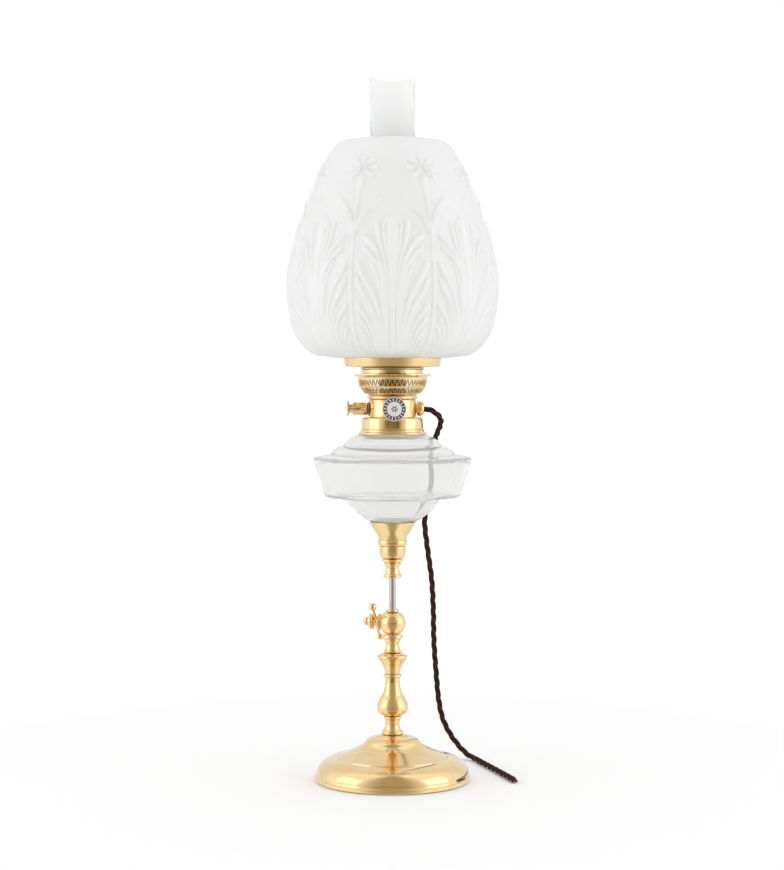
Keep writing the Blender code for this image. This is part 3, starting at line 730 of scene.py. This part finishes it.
def make_knob():
    """The round knob: a silvered face, a dark ring of light pips, and a small rosette in the middle."""
    place = {"at": (0, 0, SIDE_AXIS_Z), "along": knob_direction()}
    bush = [(1.9, 14.0), (3.1, 14.0), (3.1, 22.2), (4.6, 22.2), (4.6, 25.8), (3.8, 26.6), (1.9, 26.6)]
    refine("knob_bush", bush, **place)
    refine("knob_spindle", [(0, 12.0), (1.6, 12.0), (1.6, 30.6), (0, 30.6)], "steel", **place)
    face = [(0, 30.8), (3.0, 30.8), (9.8, 31.4), (10.8, 31.8), (10.9, 33.6), (10.6, 34.0), (10.3, 33.9)]
    face += [(10.2, 33.6), (6.9, 33.6), (6.7, 34.1), (0, 34.3)]
    refine("knob_disc", face, "silvered", ease=0.1, **place)

    channel = [(6.95, 33.5), (10.2, 33.5), (10.2, 33.7), (6.95, 33.7)]
    ring = turned("knob_ring", channel, "enamel", ease=0.04, **place)
    pips, petals = 18, 6
    builder = bmesh.new()
    for i in range(pips):
        size = (2.3, 1.1, 0.5) if i % 3 else (1.3, 1.6, 0.5)
        block(builder, size, spin(i / pips) @ shift(8.55, 0, 33.75))
    bmesh.ops.bevel(builder, geom=builder.edges, offset=0.12 * MM, segments=2, affect="EDGES")
    marks = smoothed(builder, "knob_pips", "silvered", **place)
    builder = bmesh.new()
    for i in range(petals):
        petal = Matrix.Diagonal((2.6 * MM, 1.2 * MM, 0.3 * MM, 1.0))
        bmesh.ops.create_uvsphere(builder, u_segments=12, v_segments=8, radius=0.5,
                                  matrix=spin(i / petals) @ shift(1.9, 0, 34.25) @ petal)
    rosette = smoothed(builder, "knob_rosette", "enamel", **place)
    attach([ring, marks, rosette], "knob")


def make_gland():
    gland = [(3.1, 15.0), (4.1, 15.0), (4.1, 22.2), (5.0, 22.2)]
    bend(gland, (6.9, 22.6), (6.8, 25.2))
    bend(gland, (6.7, 28.8), (4.2, 29.3))
    gland += [(3.1, 29.3)]
    refine("flex_gland", gland, at=(0, 0, SIDE_AXIS_Z), along=(1, 0, 0))


# ---------------------------------------------------------------- chimney and shade

def make_chimney():
    foot_r, tube_r, wall = 26.5, 21.3, 1.7
    outside = [(foot_r, 377.4), (foot_r, 424.0)]
    bend(outside, (foot_r, 431.0), (22.6, 437.0), 14)
    bend(outside, (tube_r, 440.0), (tube_r, 448.0), 10)
    outside += [(tube_r, HEIGHT)]
    inside = [(r - wall, z) for r, z in reversed(outside)]
    refine("chimney", outside + inside, "clear", facets=FACETS, ease=0.7)


def shade_profile():
    """The shade's outside above its fitter neck, from bottom to top, before any relief."""
    outside = [(43.2, 390.2)]
    bend(outside, (63.0, 390.4), (72.6, 395.6), 14)
    bend(outside, (93.2, 407.6), (95.2, 440.0), 20)
    bend(outside, (SHADE_R + 1.1, 460.0), (93.5, 482.0), 16)
    bend(outside, (84.4, 526.0), (70.0, 558.0), 24)
    bend(outside, (61.4, 578.0), (53.4, 586.6), 14)
    bend(outside, (50.0, SHADE_TOP_Z), (45.6, SHADE_TOP_Z), 8)
    return outside


def shade_inside():
    """The plain inside from the rim to the fitter neck, and back up the neck's outside."""
    inside = [(43.7, SHADE_TOP_Z - 0.6), (42.7, SHADE_TOP_Z - 1.9), (48.0, 586.2)]
    bend(inside, (58.0, 576.0), (66.2, 557.0), 3)
    bend(inside, (80.6, 524.0), (89.4, 482.0), 4)
    bend(inside, (93.6, 460.0), (90.8, 440.0), 3)
    bend(inside, (88.0, 411.0), (70.4, 399.2), 4)
    bend(inside, (62.0, 394.2), (42.4, 393.6), 3)
    inside += [(40.2, 391.0), (40.0, 384.6), (41.2, 384.3), (42.6, 384.3), (43.2, 385.0), (43.2, 389.6)]
    return inside


def blades():
    """The low swells under a leaf's flutes and a stem's side leaf, written as the ribs below are."""
    return [
        ([(0, 506), (0, 480), (0, 440), (0, 400)], (8.0, 13.0), (0.9, 0.9)),
        ([(0.62, 491), (0.36, 476), (0.16, 445)], (4.6, 7.0), (0.9, 0.9)),
        ([(0.70, 455), (0.46, 436), (0.22, 405)], (4.6, 7.0), (0.9, 0.9)),
        ([(0.97, 502), (0.84, 514), (0.64, 523), (0.40, 530)], (2.4, 4.6), (1.0, 1.2)),
    ]


def leaf_ribs():
    """The flutes of half a leaf. Each has its places from tip to root, as (share of the half leaf, height),
    then its half width and its relief, at the tip and at the root."""
    return [
        ([(0, 511), (0, 495), (0, 470), (0, 430), (0, 393)], (5.4, 1.6), (1.3, 0.9)),
        ([(0.02, 515.5), (0.13, 511.5), (0.24, 506)], (1.5, 1.7), (1.5, 1.2)),
        ([(0.24, 506), (0.20, 497), (0.12, 480)], (1.7, 1.4), (1.2, 0.6)),
        ([(0.40, 508.5), (0.34, 494), (0.22, 478), (0.13, 460), (0.085, 436)], (2.2, 1.3), (1.9, 0.5)),
        ([(0.74, 496.5), (0.60, 493), (0.42, 484), (0.27, 470), (0.17, 452), (0.12, 425), (0.115, 393)],
         (2.6, 1.2), (2.1, 0.5)),
        ([(0.71, 486), (0.52, 480), (0.35, 471), (0.24, 459), (0.18, 440), (0.17, 415), (0.175, 393)],
         (2.3, 1.2), (1.9, 0.6)),
        ([(0.52, 474), (0.40, 466), (0.29, 453), (0.23, 436), (0.215, 412), (0.22, 393)],
         (1.7, 1.2), (0.9, 0.6)),
        ([(0.84, 472), (0.69, 461), (0.53, 451), (0.40, 439), (0.31, 425), (0.27, 410), (0.275, 393)],
         (2.7, 1.3), (2.1, 0.6)),
        ([(0.84, 458), (0.73, 447.5), (0.56, 438), (0.43, 427), (0.35, 414), (0.335, 393)],
         (2.4, 1.2), (1.9, 0.6)),
        ([(0.62, 434), (0.50, 424), (0.41, 412), (0.395, 393)], (1.7, 1.2), (0.9, 0.6)),
        ([(0.84, 434.5), (0.70, 428), (0.57, 421), (0.48, 410), (0.455, 393)], (2.6, 1.3), (2.0, 0.6)),
        ([(0.82, 425), (0.70, 418), (0.59, 409), (0.54, 394)], (2.1, 1.1), (1.5, 0.5)),
        ([(0.81, 415), (0.71, 408), (0.65, 400), (0.62, 394)], (2.0, 1.1), (1.5, 0.5)),
        ([(0.80, 405), (0.74, 399), (0.71, 394)], (1.6, 1.0), (1.1, 0.5)),
    ]


def stem_ribs():
    """Half a stem with its side leaf, its calyx and its star flower."""
    ribs = [
        ([(1, 393), (1, 430), (1, 480), (1, 515), (1, 545)], (1.5, 1.5), (1.2, 1.2)),
        ([(1, 524), (1, 538), (1, 549)], (1.5, 3.8), (1.2, 2.6)),
        ([(0.97, 503), (0.84, 517), (0.63, 527), (0.36, 534)], (1.1, 1.1), (0.9, 0.9)),
        ([(0.97, 500), (0.88, 508), (0.74, 516), (0.56, 522)], (1.1, 1.1), (0.9, 0.7)),
    ]
    flower_z, flower_r, petal = 559.5, 69.0, 12.6
    across = petal / (HALF_LEAF * flower_r)  # a petal's length as a share of the half leaf
    up = petal * 0.8  # and in height, on the shade's slope
    for angle in (0, 45, 90, 135):
        out = math.radians(angle)
        reach = [(1 - across * share * math.sin(out), flower_z + up * share * math.cos(out))
                 for share in (0.25, 1.0)]
        ribs.append((reach, (1.4, 2.9), (1.7, 1.9)))
    ribs.append(([(1, flower_z - 0.1), (1, flower_z + 0.1)], (2.0, 2.0), (2.3, 2.3)))
    return ribs


def rib_line(knots, along, z, radius):
    """A rib's middle line on the unrolled outside: mm from the leaf's middle, and mm up the outside."""
    stretch = 100  # brings shares near to mm, so that the line's points come evenly
    line = [(share * stretch, height, 0) for share, height in knots]
    if len(knots) > 2:
        line = smooth_line(line, 2.0)
    shares = np.array([point[0] for point in line]) / stretch
    heights = [point[1] for point in line]
    across = shares * HALF_LEAF * np.interp(heights, z, radius)
    return np.column_stack([across, np.interp(heights, z, along)])


def relief(ribs, share, along, z, radius):
    """Height of the ribs, in mm, over a grid: distance up the outside by share of the half leaf."""
    x = share[None, :] * HALF_LEAF * radius[:, None]
    y = np.repeat(along[:, None], len(share), axis=1)
    height = np.zeros_like(x)
    for knots, widths, heights in ribs:
        places = rib_line(knots, along, z, radius)
        runs = np.diff(places, axis=0)
        for i, (start, run) in enumerate(zip(places, runs)):
            nearest = ((x - start[0]) * run[0] + (y - start[1]) * run[1]) / max(run @ run, 1e-9)
            t = np.clip(nearest, 0, 1)
            gap = np.hypot(x - start[0] - t * run[0], y - start[1] - t * run[1])
            done = (i + t) / len(runs)
            width = widths[0] + (widths[1] - widths[0]) * done
            tall = heights[0] + (heights[1] - heights[0]) * done
            height = np.maximum(height, tall * np.clip(1 - (gap / width) ** 2, 0, None) ** 0.75)
    return height


def make_shade():
    """The outside is a fine grid that the relief lifts square to the profile, and the inside is plain."""
    half_columns, rows = 40, 128
    columns = 2 * LEAVES * half_columns
    profile = np.array(shade_profile())
    walked = np.concatenate([[0], np.cumsum(np.hypot(*np.diff(profile, axis=0).T))])
    along = np.linspace(0, walked[-1], rows)
    radius, z = (np.interp(along, walked, places) for places in profile.T)
    grid = (np.linspace(0, 1, half_columns + 1), along, z, radius)
    half = relief(blades(), *grid) + 1.15 * relief(leaf_ribs() + stem_ribs(), *grid)
    column = np.arange(columns)
    mirrored = np.abs((column + half_columns) % (2 * half_columns) - half_columns)
    height = half[:, mirrored]
    slope_r, slope_z = np.gradient(radius, along), np.gradient(z, along)
    inner_r, inner_z = np.repeat(np.array(shade_inside()).T[:, :, None], columns, axis=2)
    r = np.vstack([radius[:, None] + height * slope_z[:, None], inner_r])
    h = np.vstack([z[:, None] - height * slope_r[:, None], inner_z])
    angle = -math.pi / 2 + 2 * math.pi * column / columns  # a leaf faces -Y
    points = np.stack([r * np.cos(angle), r * np.sin(angle), h], axis=-1).reshape(-1, 3) * MM
    faces = []
    for row in range(len(r)):
        below, above = row * columns, (row + 1) % len(r) * columns
        for i in range(columns):
            j = (i + 1) % columns
            faces.append((below + i, below + j, above + j, above + i))
    mesh = bpy.data.meshes.new("shade_fine")
    mesh.from_pydata(points.tolist(), [], faces)
    mesh.shade_smooth()
    stand_for(link("shade_fine", mesh, "opal"), "shade")


# ---------------------------------------------------------------- the flex

def flex_route():
    """The middle of the flex, as in the CAD model but for a slightly higher last run, to clear the table."""
    table = 1.2 * CORD_R
    return [(29.6, 0, 343.6), (36.2, 1.0, 341.9), (41.6, 4.0, 338.3), (45.0, 9.5, 333.4),
            (44.6, 17.0, 327.4), (42.2, 26.5, 320.6), (40.8, 34.0, 315.6), (39.2, 44.0, 310.0),
            (38.0, 55.0, 304.9), (37.2, 65.2, 301.9), (36.6, 70.4, 295.0), (38.4, 71.6, 284.0),
            (38.4, 71.9, 270.0), (34.0, 71.2, 252.0), (30.9, 70.4, 234.0), (33.9, 71.6, 206.4),
            (37.8, 73.8, 177.2), (39.4, 76.0, 148.0), (40.0, 79.0, 118.6), (42.1, 83.0, 88.9),
            (44.8, 88.4, 60.4), (49.0, 93.6, 40.6), (56.8, 98.0, 24.0), (67.0, 98.6, 10.6),
            (74.4, 95.0, 4.4), (80.3, 86.6, table), (86.4, 66.0, table), (94.4, 41.0, table),
            (102.0, 16.4, table), (108.0, -3.4, table), (112.4, -18.0, table)]


def frames_along(points):
    """A pair of crosswise directions at each point, carried along without twisting."""
    ahead = [(b - a).normalized() for a, b in zip(points, points[1:])]
    ahead.append(ahead[-1])
    side = ahead[0].orthogonal().normalized()
    pairs = []
    for direction in ahead:
        side = (side - direction * side.dot(direction)).normalized()
        pairs.append((side, direction.cross(side)))
    return pairs


def around(middle, pair, share, radius):
    """The point at a share of the turn round a middle, in the plane of a crosswise pair."""
    angle = 2 * math.pi * share
    return middle + (pair[0] * math.cos(angle) + pair[1] * math.sin(angle)) * radius


def core_skin(middles, radius, sides, weave):
    """A closed tube along the middles: its points, its faces, and a place in the weave for each corner of a
    face. weave is how much of the weave's repeat lies between two middles."""
    points = [around(middle, pair, k / sides, radius) * MM
              for middle, pair in zip(middles, frames_along(middles)) for k in range(sides)]
    faces, coordinates = [], []
    for i in range(len(middles) - 1):
        for k in range(sides):
            a, b = i * sides + k, i * sides + (k + 1) % sides
            faces.append((a, b, b + sides, a + sides))
            left, right, low, high = k / sides, (k + 1) / sides, i * weave, (i + 1) * weave
            coordinates += [(left, low), (right, low), (right, high), (left, high)]
    for cap in (range(sides - 1, -1, -1), range(len(points) - sides, len(points))):
        faces.append(tuple(cap))
        coordinates += [(0.5, 0.0)] * sides
    return points, faces, coordinates


def make_flex():
    """Three braided cores twisted together, a little proud of the plain CAD flex."""
    cores, pitch, sides = 3, 32.5, 14
    core_r, offset = 0.53 * CORD_R, 0.67 * CORD_R  # offset is from the flex's middle to a core's
    spacing, weave_repeat = 1.0, 2.2
    centres = smooth_line(flex_route(), spacing)
    pairs = frames_along(centres)
    points, faces, coordinates, ends = [], [], [], []
    for core in range(cores):
        middles = [around(centre, pair, core / cores - i * spacing / pitch, offset)
                   for i, (centre, pair) in enumerate(zip(centres, pairs))]
        skin, skin_faces, skin_coordinates = core_skin(middles, core_r, sides, spacing / weave_repeat)
        faces += [tuple(len(points) + corner for corner in face) for face in skin_faces]
        points += skin
        coordinates += skin_coordinates
        ends.append((middles[-1], middles[-1] - middles[-2]))
    mesh = bpy.data.meshes.new("flex_twisted")
    mesh.from_pydata([tuple(p) for p in points], [], faces)
    layer = mesh.uv_layers.new(name="UVMap")
    for corner, uv in zip(layer.data, coordinates):
        corner.uv = uv
    mesh.shade_smooth()
    mesh.set_sharp_from_angle(angle=math.radians(60))
    flex = link("flex_twisted", mesh, "braid")
    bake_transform(flex)
    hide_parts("flex")

    tips = cut_tips(ends)


def cut_tips(ends):
    """The insulation and the copper that show at each core's cut end."""
    tips = []
    for number, (at, along) in enumerate(ends):
        for name, radius, reach, look, facets in (("core_insulation", 0.75, 0.7, "black", 24),
                                                  ("core_copper", 0.4, 1.5, "copper", 16)):
            outline = [(0, -1.0), (radius, -1.0), (radius, reach), (0, reach)]
            tips.append(turned(f"{name}_{number}", outline, look, facets, 0.1, at=at, along=along))
    attach(tips, "collet")
    return tips


# ---------------------------------------------------------------- carried-over pieces

def dress_inner_nodes():
    """The plain pieces inside, kept as the CAD has them, with their finishes."""
    looks = {"iron": ["foot_weight"], "steel": ["foot_washer", "foot_nut", "tie_tube", "holder_nut"],
             "brass": ["clamp_collet", "clamp_pad"], "black": ["switch_case"],
             "lead": ["lead_live", "lead_neutral"]}
    for look, nodes in looks.items():
        for node in nodes:
            materials = FRAME["nodes"][node].data.materials
            materials.clear()
            materials.append(LOOK[look])


# ---------------------------------------------------------------- studio

def floor_look():
    look = Look("studio_floor", Roughness=0.9, Specular_IOR_Level=0.1)
    look.colour((0.97, 0.97, 0.97), (0.965, 0.965, 0.965), 2)
    return look.material


def make_camera():
    """A long lens level with the font, its frame shifted to hold the whole lamp."""
    camera = bpy.data.cameras.new("camera")
    camera.lens = 81.48
    camera.sensor_width = 36
    camera.shift_x = -0.0006
    camera.shift_y = -0.0609
    made = bpy.data.objects.new("camera", camera)
    bpy.context.scene.collection.objects.link(made)
    made.location = (0, -1.8243, 0.3683)
    made.rotation_euler = (math.pi / 2, 0, 0)
    bpy.context.scene.camera = made


def softbox(name, azimuth, height=0.75, distance=1.9, size=1.4, power=4.3):
    """A soft light turned to face the lamp. Azimuth 0 is the camera's side, and 90 is +X."""
    light = bpy.data.lights.new(name, "AREA")
    light.size = size
    light.energy = power
    made = bpy.data.objects.new(name, light)
    bpy.context.scene.collection.objects.link(made)
    bearing = math.radians(azimuth)
    made.location = (distance * math.sin(bearing), -distance * math.cos(bearing), height)
    towards = Vector((0, 0, 0.35)) - made.location
    made.rotation_euler = towards.to_track_quat("-Z", "Y").to_euler()


def make_world():
    """A white tent, darker on the camera's side, with a dark opening there. Reflections see the tent, the
    camera sees white, also through glass, and the rest of the light comes evenly from all round."""
    world = bpy.data.worlds.new("studio")
    bpy.context.scene.world = world
    world.use_nodes = True
    tree = world.node_tree

    def add(kind, inputs=None, **settings):
        return new_node(tree, kind, inputs, **settings).outputs

    def grey(level):
        return (level, level, level, 1.0)

    def rise(value, start, end):
        return add("MapRange", {"Value": value, "From Min": start, "From Max": end},
                   interpolation_type="SMOOTHSTEP")["Result"]

    def mix(share, first, second):
        return add("Mix", {"Factor": share, 6: first, 7: second}, data_type="RGBA")[2]

    def maths(operation, first, second):
        return add("Math", {0: first, 1: second}, operation=operation)[0]

    split = add("SeparateXYZ", {0: add("TexCoord")["Generated"]})
    height = split["Z"]
    level_part = add("CombineXYZ", {"X": split["X"], "Y": split["Y"]})[0]
    compass = add("VectorMath", {0: level_part}, operation="NORMALIZE")[0]
    behind = add("SeparateXYZ", {0: compass})["Y"]  # -1 towards the camera and 1 away from it, at any height
    tent = mix(rise(behind, -1.0, -0.5), (0.46, 0.40, 0.29, 1.0), grey(1.06))
    tent = mix(rise(behind, 0.2, 0.8), tent, grey(0.86))
    slit = maths("MULTIPLY", rise(height, -0.09, -0.05), rise(height, 0.0, -0.012))
    opening = maths("MULTIPLY", rise(behind, -0.82, -0.94), slit)
    tent = mix(opening, tent, (0.03, 0.025, 0.02, 1.0))
    path = add("LightPath")
    seen = maths("MAXIMUM", path["Is Camera Ray"], path["Is Transmission Ray"])
    light = mix(path["Is Glossy Ray"], grey(0.98), tent)
    tree.links.new(mix(seen, light, grey(1.1)), tree.nodes["Background"].inputs["Color"])


def make_studio():
    make_camera()
    make_world()
    softbox("softbox_left", -72)
    softbox("softbox_right", 72)
    builder = bmesh.new()
    bmesh.ops.create_circle(builder, cap_ends=True, segments=96, radius=0.5)
    floor = smoothed(builder, "floor", "floor", at=(0, 0, -0.05))
    floor.visible_glossy = False
    bpy.context.scene.view_settings.view_transform = "Standard"


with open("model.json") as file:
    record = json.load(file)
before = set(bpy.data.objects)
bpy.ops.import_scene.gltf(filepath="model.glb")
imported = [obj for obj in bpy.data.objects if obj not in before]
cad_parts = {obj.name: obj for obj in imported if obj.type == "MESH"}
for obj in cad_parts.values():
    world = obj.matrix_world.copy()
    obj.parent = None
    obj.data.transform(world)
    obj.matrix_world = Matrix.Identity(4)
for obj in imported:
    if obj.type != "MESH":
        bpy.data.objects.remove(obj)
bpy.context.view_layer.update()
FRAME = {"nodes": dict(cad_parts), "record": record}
BODY_OF = {node: body for body, nodes in FRAME["record"]["behaviour"]["bodies"].items() for node in nodes}
LOOK = {"brass": brass_look("brass_turned", 0.000008), "cast": brass_look("brass_cast", 0.00004),
        "dull": dull_shaded_brass_look(), "steel": steel_look(), "nickel": nickel_look(),
        "silvered": silvered_look(), "iron": iron_look(), "felt": felt_look(), "clear": clear_look(),
        "opal": opal_look(), "black": black_look(), "ceramic": ceramic_look(), "plaster": plaster_look(),
        "enamel": enamel_look(), "copper": copper_look(), "braid": braid_look(), "lead": lead_look(),
        "floor": floor_look()}

for make in (make_studio, make_flex, make_foot, make_column, make_clamp, make_lift, make_font, make_burner,
             make_basket, make_carrier, make_lampholder, make_switch, make_knob, make_gland, make_chimney,
             make_shade, dress_inner_nodes):
    make()
